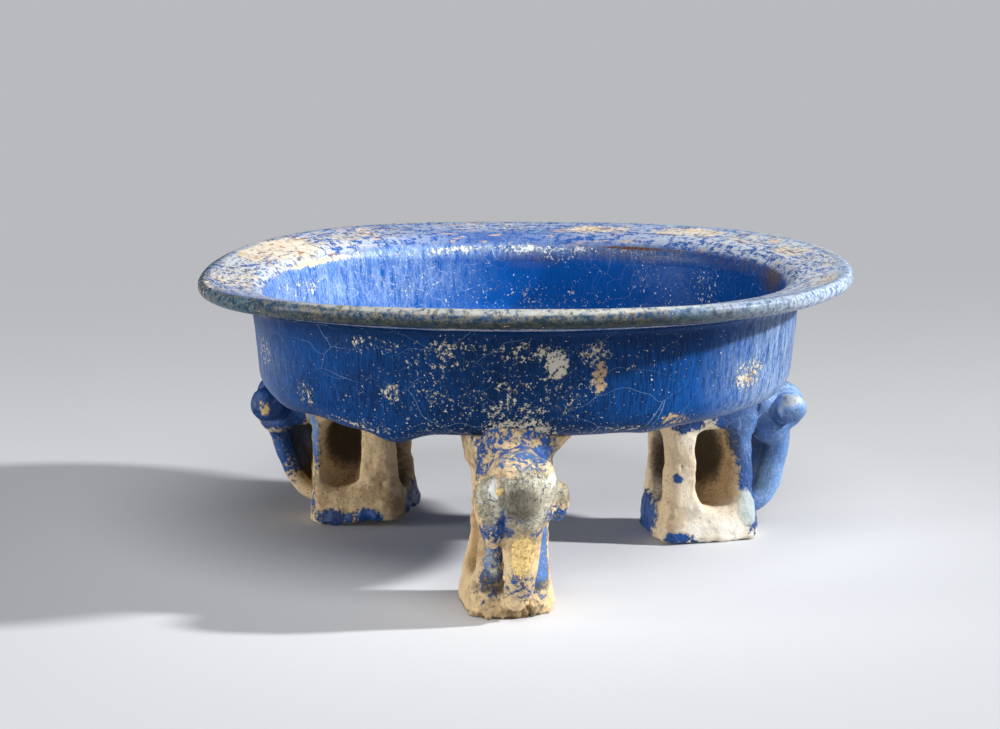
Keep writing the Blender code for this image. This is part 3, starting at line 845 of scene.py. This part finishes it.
def sliced(skin, planes):
    """A closed copy of the part of a skin behind some planes, each given as (point, normal)."""
    bm = skin.copy()
    for point, normal in planes:
        geom = bm.verts[:] + bm.edges[:] + bm.faces[:]
        cut = bmesh.ops.bisect_plane(bm, geom=geom, dist=CUT_MERGE, plane_co=point, plane_no=normal,
                                     clear_outer=True)
        rims = [e for e in cut["geom_cut"] if isinstance(e, bmesh.types.BMEdge)]
        bmesh.ops.edgenet_fill(bm, edges=rims)
    bmesh.ops.recalc_face_normals(bm, faces=bm.faces)
    return bm


def beyond(cut):
    point, normal = cut
    return point, tuple(-n for n in normal)


CUT_MERGE = 0.0005
FRONT_CUT = ((17.6, 0, 0), (1, 0, 0))
ROLL_CUT = ((0, 0, 50.5), (0, 0, 1))
CHIN_CUT = ((30, 0, 35.5), (-0.25, 0, 1))
LEFT_EAR_CUT = ((0, 8.6, 40), (0, 1, -0.2))
RIGHT_EAR_CUT = ((0, -8.6, 40), (0, -1, -0.2))
IN_HEAD = [beyond(FRONT_CUT), beyond(CHIN_CUT)]
FOOT_PIECES = {
    "block": [FRONT_CUT, ROLL_CUT],
    "luting_roll": [FRONT_CUT, beyond(ROLL_CUT)],
    "trunk": [beyond(FRONT_CUT), CHIN_CUT],
    "head": [*IN_HEAD, LEFT_EAR_CUT, RIGHT_EAR_CUT],
    "left_ear": [*IN_HEAD, beyond(LEFT_EAR_CUT)],
    "right_ear": [*IN_HEAD, beyond(RIGHT_EAR_CUT)],
}


def make_foot(name, material):
    skin = elephant(name)
    turn = Matrix.Rotation(math.radians(FEET[name]["facing"]), 4, "Z")
    place = Matrix.Translation(SOLES[name + "_foot_sole"]) @ turn @ Matrix.Scale(MM, 4)
    for part, planes in FOOT_PIECES.items():
        bm = sliced(skin, planes)
        bm.transform(place)
        label = "pierced_block" if part == "block" else part
        node = f"{name}_foot_{part}"
        piece = new_piece(f"{name}_elephant_{label}", bm, node, material)
        points = places(piece)
        turned = (points - np.array(place.translation)) @ np.array(place.to_3x3().inverted().transposed())
        for kind, patches in FOOT_PATCHES[name].items():
            paint(piece, kind, patchwork(turned, patches))
    skin.free()


# Wear, painted shade and painted highlights

def places(piece):
    points = np.empty(len(piece.data.vertices) * 3, "f")
    piece.data.vertices.foreach_get("co", points)
    return points.reshape(-1, 3).astype("d")


def paint(piece, name, values):
    """A float attribute on the piece's points."""
    layer = piece.data.attributes.new(name, "FLOAT", "POINT")
    layer.data.foreach_set("value", values.astype("f"))


def fade(reach):
    """1 well inside a patch, falling to 0 past its edge, which is at a reach of 1."""
    return np.clip(PATCH_PLATEAU - PATCH_FALL * reach, 0, 1)


def patchwork(points, patches):
    """How far inside the strongest patch each point lies."""
    values = np.zeros(len(points))
    for centre, radii, strength in patches:
        reach = np.sqrt((((points - centre) / radii) ** 2).sum(axis=1))
        values = np.maximum(values, strength * fade(reach))
    return values


def spots(bearing, across, radius, marks):
    """The same on a turned surface: marks lie at a bearing and at a height or radius."""
    values = np.zeros(len(bearing))
    for angle, middle, half_along, half_across, strength in marks:
        along = off_bearing(bearing, angle) * math.pi / 180 * radius
        reach = np.sqrt((along / half_along) ** 2 + ((across - middle) / half_across) ** 2)
        values = np.maximum(values, strength * fade(reach))
    return values


def round_bearing(bearing, mark):
    middle, spread, strength = mark
    return strength * np.exp(-(off_bearing(bearing, middle) / spread) ** 2)


def paint_bowl(piece, is_rim):
    points = places(piece) / MM
    bearing = np.degrees(np.arctan2(points[:, 1], points[:, 0]))
    radius = np.hypot(points[:, 0], points[:, 1])
    height = points[:, 2]
    inner = (radius < INSIDE_REACH) * ((radius < INSIDE_WALL_RADIUS) | (height > SEAM_Z))
    if is_rim:
        ledge = np.clip((radius - LEDGE_START) / LEDGE_BLEND, 0, 1) * (height > LEDGE_UNDER_Z)
        wall = 1.0 * (radius > RIM_WALL_RADIUS) * (height < SEAM_Z)
        inside = inner * (1 - ledge)
    else:
        ledge = np.zeros(len(radius))
        wall = 1.0 * ((radius > BASIN_OUTSIDE_RADIUS) | (height < BASIN_FLOOR_Z))
        inside = inner * (1 - wall)
    lip = np.clip((radius - LIP_START) / LIP_BLEND, 0, 1)

    def on_wall(marks):
        return wall * spots(bearing, height, WALL_RADIUS, marks)

    def on_inside(marks):
        return inside * spots(bearing, height, INSIDE_RADIUS, marks)

    def on_ledge(marks):
        return ledge * spots(bearing, radius, radius, marks)

    # Painted shade under the rim, at the front, inside on the right and under the lip; lit sides spared
    lit_right = round_bearing(bearing, LIT_RIGHT)
    shade_under_rim = np.clip((height - SHADE_UNDER_RIM_Z) / SHADE_UNDER_RIM_BLEND, 0, 1) * (1 - lit_right)
    wall_shade = wall * np.maximum(shade_under_rim, round_bearing(bearing, SHADE_FRONT))
    inside_shade = inside * round_bearing(bearing, SHADE_INSIDE)
    under_lip = (radius > LIP_UNDER_RADIUS) * np.clip((LIP_UNDER_Z - height) / LIP_UNDER_BLEND, 0, 1)
    lip_shade = under_lip * (1 - lit_right * LIP_LIT) * (1 - round_bearing(bearing, LIT_LEFT))
    # Painted highlight along the top edge of the lip
    lip_highlight = np.clip((radius - CREST_RADIUS) / CREST_RADIUS_BLEND, 0, 1)
    paint(piece, "wear", on_wall(WALL_LOSSES) + on_inside(INSIDE_LOSSES)
          + on_ledge(LEDGE_LOSSES) * (1 - LIP_KEPT * lip))
    paint(piece, "stain", on_wall(WALL_STAINS) + on_inside(INSIDE_STAINS) + on_ledge(LEDGE_STAINS))
    paint(piece, "lip", lip)
    paint(piece, "ledge", ledge)
    paint(piece, "inside", inside)
    paint(piece, "wash", on_ledge(LEDGE_WASH))
    paint(piece, "smoke", on_inside(INSIDE_SMOKE))
    paint(piece, "darker", np.maximum(np.maximum(wall_shade, inside_shade), lip_shade))
    paint(piece, "lip_highlight", lip_highlight * np.clip((height - CREST_Z) / CREST_Z_BLEND, 0, 1))
    paint(piece, "haze_and_sheen", on_wall(WALL_HAZE_AND_SHEEN) + on_inside(INSIDE_HAZE_AND_SHEEN) + on_ledge(LIP_SHEEN_SPOTS))


# Materials. Colours are linear red, green and blue.

COBALT_THICK = (0.0012, 0.016, 0.075)
COBALT = (0.006, 0.085, 0.34)
COBALT_THIN = (0.022, 0.19, 0.58)
COBALT_INSIDE = (0.005, 0.125, 0.50)
COBALT_LEDGE = (0.06, 0.14, 0.42)
COBALT_SHADED = (0.001, 0.010, 0.036)
PASTE_CREAM = (0.86, 0.82, 0.73)
PASTE_BUFF = (0.77, 0.68, 0.53)
PASTE_GRAIN = (0.46, 0.36, 0.24)
HAZE_SHEEN_BLUE = (0.42, 0.56, 0.76)
LEDGE_WASHED = (0.62, 0.67, 0.71)
LEDGE_STROKE = (0.56, 0.40, 0.25)
LIP_GREEN = (0.22, 0.31, 0.27)
LIP_OCHRE = (0.31, 0.26, 0.12)
LIP_DARK = (0.03, 0.06, 0.065)
LIP_SPECK = (0.004, 0.03, 0.12)
LIP_SHEEN_COLOUR = (0.60, 0.68, 0.76)
LIP_SHADED = (0.02, 0.028, 0.022)
SMOKED = (0.17, 0.11, 0.05)
CREST_HIGHLIGHT = (0.66, 0.66, 0.58)
CRAZING_WALL = (0.42, 0.58, 0.80)
CRAZING_INSIDE = (0.78, 0.84, 0.90)
FRAYED_EDGE = (0.13, 0.14, 0.09)
BARE_WALL = (0.30, 0.29, 0.22)
BARE_LEDGE_GREY = (0.56, 0.52, 0.45)
BARE_LEDGE_BROWN = (0.55, 0.41, 0.27)
BARE_INSIDE_PALE = (0.78, 0.82, 0.86)
BARE_INSIDE_TAN = (0.66, 0.55, 0.36)
BROWNED = (0.42, 0.23, 0.09)
BURNT = (0.14, 0.05, 0.025)
SCRATCHED = (0.26, 0.085, 0.04)
FOOT_TAN = (0.68, 0.48, 0.245)
FOOT_DIRT = (0.33, 0.21, 0.095)
FOOT_GRAIN = (0.34, 0.24, 0.13)
FOOT_DIRT_AND_SHADE = (0.085, 0.046, 0.018)
FOOT_DOT = (0.08, 0.06, 0.04)
FOOT_FRINGE = (0.20, 0.21, 0.17)
FOOT_HAZE_SHEEN = (0.30, 0.50, 0.84)
FOOT_HAIRLINE = (0.62, 0.70, 0.80)
FOOT_FLECK = (0.62, 0.60, 0.53)
SILVER_DULL = (0.095, 0.09, 0.05)
SILVER_PALE = (0.62, 0.58, 0.43)
SILVER_SPECK = (0.018, 0.035, 0.10)
GLAZE_DIRT_AND_SHADE = (0.045, 0.035, 0.02)
PAINTED_GLINT = (0.68, 0.69, 0.67)
GOLD_VEIN = (0.42, 0.24, 0.08)
GOLD = (0.96, 0.70, 0.28)
SPILT = (0.50, 0.56, 0.52)


def cobalt(place):
    """Cobalt glaze that ran down in fine streaks: darker where it is thick, paler where it is thin."""
    streaks = place.stretch(1, 1, 0.05).noise(1900, 4, 0.7)
    clouds = place.noise(38, 3, 0.55)
    thin = place.stretch(1, 1, 0.10).noise(3400, 3, 0.6).step(0.56, 0.74)
    darker = (streaks * 0.8 + clouds * 0.3).step(0.38, 0.72).tint(COBALT_THICK, COBALT)
    return (thin * 0.5).tint(darker, COBALT_THIN)


def worn_paste(place):
    """Stonepaste: a cream body with tan clouds and a fine grain."""
    body = place.noise(90, 4, 0.6).step(0.35, 0.65).tint(PASTE_CREAM, PASTE_BUFF)
    return (place.noise(1500, 3, 0.7).step(0.55, 0.75) * 0.4).tint(body, PASTE_GRAIN)


def lace(place):
    """Fine ragged noise round nought, for the edges of worn glaze."""
    return (place.noise(680, 6, 0.74) - 0.5) * 1.9 + (place.noise(110, 3, 0.55) - 0.5) * 0.7


class BowlPattern:
    """What the layers of the bowl's finish share: painted attributes, and strokes that go round."""

    def __init__(self, place):
        self.place = place
        self.wear, self.stain, self.haze_and_sheen = map(place.attribute, ("wear", "stain", "haze_and_sheen"))
        self.lip, self.ledge, self.inside = map(place.attribute, ("lip", "ledge", "inside"))
        self.top = self.ledge * (1 - self.lip)
        self.ragged = lace(place)
        flat = place.stretch(1, 1, 0)
        outward = flat.vector("NORMALIZE")
        away = flat.vector("LENGTH", output="Value")
        rings = outward.shift(away.node("ShaderNodeCombineXYZ", None, {2: away * 45}))
        self.lines = outward.shift(away.node("ShaderNodeCombineXYZ", None, {2: away * 110}))
        rays = outward.shift(place)
        self.brushed = rings.noise(15, 6, 0.8) * 0.7 + rays.noise(125, 6, 0.8) * 0.3
        self.strokes = rings.shift((3, 5, 2)).noise(11, 4, 0.65)
        self.lost = (self.wear + self.ragged + self.top * (self.brushed - 0.5) * 1.6).step(0.58, 0.63)


def ledge_glaze(bowl, colour):
    """Thinner glaze on the ledge's top, with a pale wash and brown strokes that go round."""
    brushed = bowl.brushed * 0.7 + bowl.place.noise(420, 6, 0.72) * 0.4
    wash = bowl.place.attribute("wash") * brushed.step(0.515, 0.56)
    colour = (bowl.top * 0.5).tint(colour, COBALT_LEDGE)
    colour = (wash * (1 - bowl.lip) * 0.85).tint(colour, LEDGE_WASHED)
    return (bowl.strokes.step(0.58, 0.66) * bowl.top * 0.8).tint(colour, LEDGE_STROKE)


def lip_glaze(bowl, colour):
    """Drab green and ochre on the lip, with dark specks."""
    place, lip = bowl.place, bowl.lip
    speck = place.noise(900, 5, 0.72)
    olive = (speck + lip * 0.06).step(0.42, 0.56) * lip * (1 - bowl.haze_and_sheen * 0.75)
    drab = place.noise(60, 3, 0.6).step(0.38, 0.58).tint(LIP_GREEN, LIP_OCHRE)
    drab = place.noise(420, 5, 0.7).step(0.41, 0.59).tint(LIP_DARK, drab)
    colour = (olive * 0.75).tint(colour, drab)
    return (speck.step(0.58, 0.63) * lip * 0.8).tint(colour, LIP_SPECK)


def crazing(bowl):
    """Crackle lines: far apart on the wall, close inside, plainest in the haze and painted sheen there."""
    place, inside = bowl.place, bowl.inside
    wide = place.wander(40, 0.018).stretch(0.5, 0.5, 1.2).cell_edges(85).step(0.006, 0.001)
    wide = wide * (1 - inside) * (1 - bowl.lip) * place.shift((0.3, 0.1, 0.7)).noise(24, 2).step(0.40, 0.54)
    fine = place.wander(60, 0.030).stretch(1, 1, 0.8).cell_edges(150).step(0.008, 0.001)
    fine = fine * place.noise(32, 2).step(0.38, 0.54)
    shown = 0.36 - inside * 0.14 + bowl.haze_and_sheen * inside * 0.6
    return (wide + fine * inside).at_most(1) * shown


def bowl_glaze(bowl):
    """The glaze where it is left, from the cobalt up to the frayed edges of its losses."""
    place, lip, inside = bowl.place, bowl.lip, bowl.inside
    colour = (inside * 0.55).tint(cobalt(place), COBALT_INSIDE)
    dust = place.stretch(1, 1, 0.3).noise(1500, 4, 0.75).step(0.46, 0.70)
    cloud = place.stretch(1, 1, 0.2).noise(500, 5, 0.7).step(0.32, 0.66)
    # Pale haze, with painted sheen where light falls on the wall and inside
    haze_sheen = bowl.haze_and_sheen * (cloud * 0.6 + dust * 0.6)
    colour = haze_sheen.at_most(1).tint(colour, HAZE_SHEEN_BLUE)
    colour = lip_glaze(bowl, ledge_glaze(bowl, colour))
    smoke = place.attribute("smoke") * (0.5 + place.noise(240, 4, 0.6).step(0.35, 0.65) * 0.5)
    colour = smoke.tint(colour, SMOKED)
    # Painted highlight: a broken pale line along the lip's top edge
    highlight = place.attribute("lip_highlight") * place.noise(520, 4, 0.7).step(0.34, 0.56)
    colour = (highlight * 0.55).tint(colour, CREST_HIGHLIGHT)
    # Painted sheen: pale on the lip where the sheen spots lie
    sheen_on_lip = lip * bowl.haze_and_sheen * place.noise(640, 5, 0.75).step(0.40, 0.60)
    colour = (sheen_on_lip * 0.75).tint(colour, LIP_SHEEN_COLOUR)
    # Painted shade: the darker attribute darkens the cobalt and the lip
    shading = place.attribute("darker") * (0.76 + lip * 0.1)
    colour = shading.tint(colour, lip.tint(COBALT_SHADED, LIP_SHADED))
    colour = crazing(bowl).tint(colour, inside.tint(CRAZING_WALL, CRAZING_INSIDE))
    frayed = (bowl.wear + bowl.ragged).step(0.47, 0.58)
    return (frayed * 0.55).tint(colour, FRAYED_EDGE)


def bowl_paste(bowl):
    """What shows where the glaze is lost: streaked on the ledge, pale inside, stained brown in places."""
    place, ledge = bowl.place, bowl.ledge
    streaked = bowl.strokes.step(0.42, 0.60).tint(BARE_LEDGE_GREY, BARE_LEDGE_BROWN)
    bare = (0.45 + ledge * 0.25).tint(worn_paste(place), ledge.tint(BARE_WALL, streaked))
    worn_inside = bowl.wear.step(0.55, 0.72).tint(BARE_INSIDE_PALE, BARE_INSIDE_TAN)
    bare = (bowl.inside * 0.8).tint(bare, worn_inside)
    browned = bowl.stain + (bowl.brushed - 0.5) * 0.8 + (place.noise(300, 5, 0.7) - 0.5)
    bare = (browned.step(0.48, 0.80) * 0.7).tint(bare, BROWNED)
    return (bowl.stain - 0.9).step(0.0, 0.2).tint(bare, BURNT)


def bowl_finish():
    made = Finish("cobalt_glaze", specular_ior_level=0.07)
    place = made.place
    bowl = BowlPattern(place)
    fleck = (place.noise(1150, 2, 0.5) + bowl.wear * 0.16).step(0.735, 0.755)
    colour = bowl.lost.at_least(fleck * 0.9).tint(bowl_glaze(bowl), bowl_paste(bowl))
    scratch = bowl.lines.shift((7, 2, 1)).noise(9, 2, 0.5).step(0.66, 0.69)
    scratch = scratch * bowl.top * (bowl.wear * 1.6).at_most(1)
    colour = (scratch * 0.85).tint(colour, SCRATCHED)
    made.feed(base_color=colour, roughness=(0.18 + place.noise(500, 3) * 0.14 + bowl.lost * 0.6).at_most(0.9))
    made.bump(bowl.lost * -0.6 + bowl.ragged * 0.15 + place.noise(140, 3) * 0.8, 0.0006, 0.5)
    return made.material


class FootPattern:
    """What the feet's finish layers share: where glaze, silver, gold, and dirt with painted shade lie."""

    def __init__(self, place):
        self.place = place
        self.haze_and_sheen = place.attribute("haze_and_sheen")
        self.ragged = lace(place)
        self.cover = place.attribute("glaze")
        self.thickness = self.cover + self.ragged * 0.8 + (place.noise(170, 3, 0.6) - 0.5) * 0.7
        self.glazed = self.thickness.step(0.49, 0.56)
        self.silver = (place.attribute("silver") + self.ragged * 0.6).step(0.46, 0.62)
        self.gilt = (place.attribute("gold") + self.ragged * 0.7).step(0.48, 0.56)
        self.spill = (place.attribute("spill") + self.ragged * 0.35).step(0.40, 0.62)
        self.dirt_and_shade = (place.attribute("dirt_and_shade") + self.ragged * 0.35).step(0.25, 0.85)
        self.dots = place.noise(1350, 2, 0.4).step(0.66, 0.70) * place.noise(100, 2).step(0.42, 0.56)


def foot_paste(foot):
    """Bare paste: tan, dirt, grain, dark dots and painted shade in hollows, and grey where glaze ends."""
    place = foot.place
    tan_and_shade = place.attribute("tan_and_shade")
    paste = (tan_and_shade * 0.8).tint(worn_paste(place), FOOT_TAN)
    dirt = (place.noise(60, 5, 0.65) + place.noise(420, 4, 0.6) * 0.4).step(0.68, 0.86)
    paste = (dirt * (0.25 + tan_and_shade * 0.42)).tint(paste, FOOT_DIRT)
    grain = place.noise(1100, 4, 0.75).step(0.52, 0.70)
    paste = (grain * (0.3 + tan_and_shade * 0.15)).tint(paste, FOOT_GRAIN)
    # Painted shade in hollows, with dirt
    paste = (foot.dirt_and_shade * 0.92).tint(paste, FOOT_DIRT_AND_SHADE)
    paste = (foot.dots * 0.85).tint(paste, FOOT_DOT)
    fringe = foot.thickness.step(0.22, 0.50) * foot.cover.step(0.05, 0.3)
    return (fringe * 0.4).tint(paste, FOOT_FRINGE)


def silvered(foot, colour):
    """Worn silver over the glaze: dull and pale by turns, with dark specks."""
    place = foot.place
    dull = (place.noise(950, 5, 0.75) * 0.7 + place.noise(110, 3, 0.5) * 0.5).step(0.42, 0.78)
    colour = (foot.silver * 0.92).tint(colour, dull.tint(SILVER_DULL, SILVER_PALE))
    speck = place.noise(850, 4, 0.7).step(0.54, 0.60) * place.noise(140, 2).step(0.36, 0.52)
    return (speck * foot.silver * 0.8).tint(colour, SILVER_SPECK)


def elephant_finish():
    made = Finish("elephant_glaze_and_paste", specular_ior_level=0.35)
    place = made.place
    foot = FootPattern(place)
    # Pale haze over the glaze, partly painted sheen
    haze_sheen = foot.haze_and_sheen * (0.5 + place.noise(1300, 5, 0.7).step(0.40, 0.62) * 0.4)
    colour = foot.glazed.tint(foot_paste(foot), haze_sheen.tint(cobalt(place), FOOT_HAZE_SHEEN))
    hair = place.wander(60, 0.012).cell_edges(190).step(0.014, 0.004)
    colour = (hair * foot.glazed * (foot.haze_and_sheen * 0.5 + 0.15)).tint(colour, FOOT_HAIRLINE)
    fleck = place.noise(1100, 3, 0.6).step(0.68, 0.71)
    colour = (fleck * foot.glazed * 0.9).tint(colour, FOOT_FLECK)
    colour = silvered(foot, colour)
    # Painted shade and dirt on the glaze too
    colour = (foot.dirt_and_shade * 0.7).tint(colour, GLAZE_DIRT_AND_SHADE)
    # Painted highlights where the haze is strongest
    glint = (foot.haze_and_sheen + foot.ragged * 2.2).step(1.5, 1.9)
    colour = (glint * 0.8).tint(colour, PAINTED_GLINT)
    vein = place.wander(300, 0.003).noise(900, 5, 0.7).step(0.36, 0.54)
    colour = foot.gilt.tint(colour, vein.tint(GOLD_VEIN, GOLD))
    colour = (foot.spill * 0.8).tint(colour, SPILT)
    shine = foot.glazed.at_least(foot.silver).at_least(foot.gilt).at_least(foot.spill)
    made.feed(base_color=colour, roughness=0.9 - shine * 0.58 - foot.silver * 0.1,
              metallic=foot.gilt * 0.25 + foot.silver * 0.1)
    relief = foot.ragged * 0.35 + shine * 0.35 - foot.dots * 0.8 + place.noise(2400, 3, 0.7) * 0.25
    made.bump(relief, 0.0007, 0.8)
    return made.material


# Stage

def place_camera():
    camera = bpy.data.cameras.new("camera")
    camera.sensor_fit = "HORIZONTAL"
    camera.sensor_width = SENSOR_WIDTH
    camera.lens = FOCAL_PIXELS * SENSOR_WIDTH / IMAGE_WIDTH
    along = math.cos(CAMERA_PITCH)
    ahead = Vector((math.sin(CAMERA_YAW) * along, math.cos(CAMERA_YAW) * along, -math.sin(CAMERA_PITCH)))
    level = Vector((math.cos(CAMERA_YAW), -math.sin(CAMERA_YAW), 0))
    above = level.cross(ahead)
    right = math.cos(CAMERA_ROLL) * level + math.sin(CAMERA_ROLL) * above
    up = math.cos(CAMERA_ROLL) * above - math.sin(CAMERA_ROLL) * level
    turn = Matrix((right, up, -ahead)).transposed().to_4x4()
    viewer = in_scene("camera", camera)
    viewer.matrix_world = Matrix.Translation(CAMERA_PLACE) @ turn
    bpy.context.scene.camera = viewer


def make_floor():
    bm = bmesh.new()
    bmesh.ops.create_grid(bm, x_segments=1, y_segments=1, size=FLOOR_HALF)
    floor = in_scene("floor", mesh_from("floor", bm))
    made = Finish("pale_floor", roughness=0.9)
    depth = made.place.node("ShaderNodeSeparateXYZ", None, {0: made.place}, "Y")
    reach = made.place.vector("LENGTH", output="Value")
    # Painted light: the floor is palest round the bowl, against the shade under it
    made.feed(base_color=reach.step(*FLOOR_PAINTED_LIGHT).tint(FLOOR_COLOUR, FLOOR_PAINTED_LIGHT_COLOUR),
              alpha=depth.step(FLOOR_FADE[1], FLOOR_FADE[0]))
    floor.data.materials.append(made.material)


def add_lamp(name, place, target, size, power):
    lamp = bpy.data.lights.new(name, "AREA")
    lamp.shape = "DISK"
    lamp.size = size
    lamp.energy = power
    holder = in_scene(name, lamp)
    holder.location = place
    holder.rotation_euler = (Vector(target) - Vector(place)).to_track_quat("-Z", "Y").to_euler()


def light_stage():
    for lamp in LAMPS:
        add_lamp(*lamp)
    world = bpy.data.worlds.new("studio")
    world.use_nodes = True
    tree = world.node_tree
    seen = tree.nodes.new("ShaderNodeLightPath").outputs["Is Camera Ray"]
    level = Shade(tree, seen) * (1 - AMBIENT) + AMBIENT
    backdrop = tree.nodes["Background"]
    backdrop.inputs["Color"].default_value = (*BACKDROP, 1)
    tree.links.new(level.socket, backdrop.inputs["Strength"])
    bpy.context.scene.world = world
    bpy.context.scene.view_settings.view_transform = "Standard"


clear_stage()
GLAZE = bowl_finish()
basin = make_basin(GLAZE)
rim = make_rim(GLAZE)
paint_bowl(basin, is_rim=False)
paint_bowl(rim, is_rim=True)
PASTE = elephant_finish()
for name in FEET:
    make_foot(name, PASTE)
place_camera()
make_floor()
light_stage()
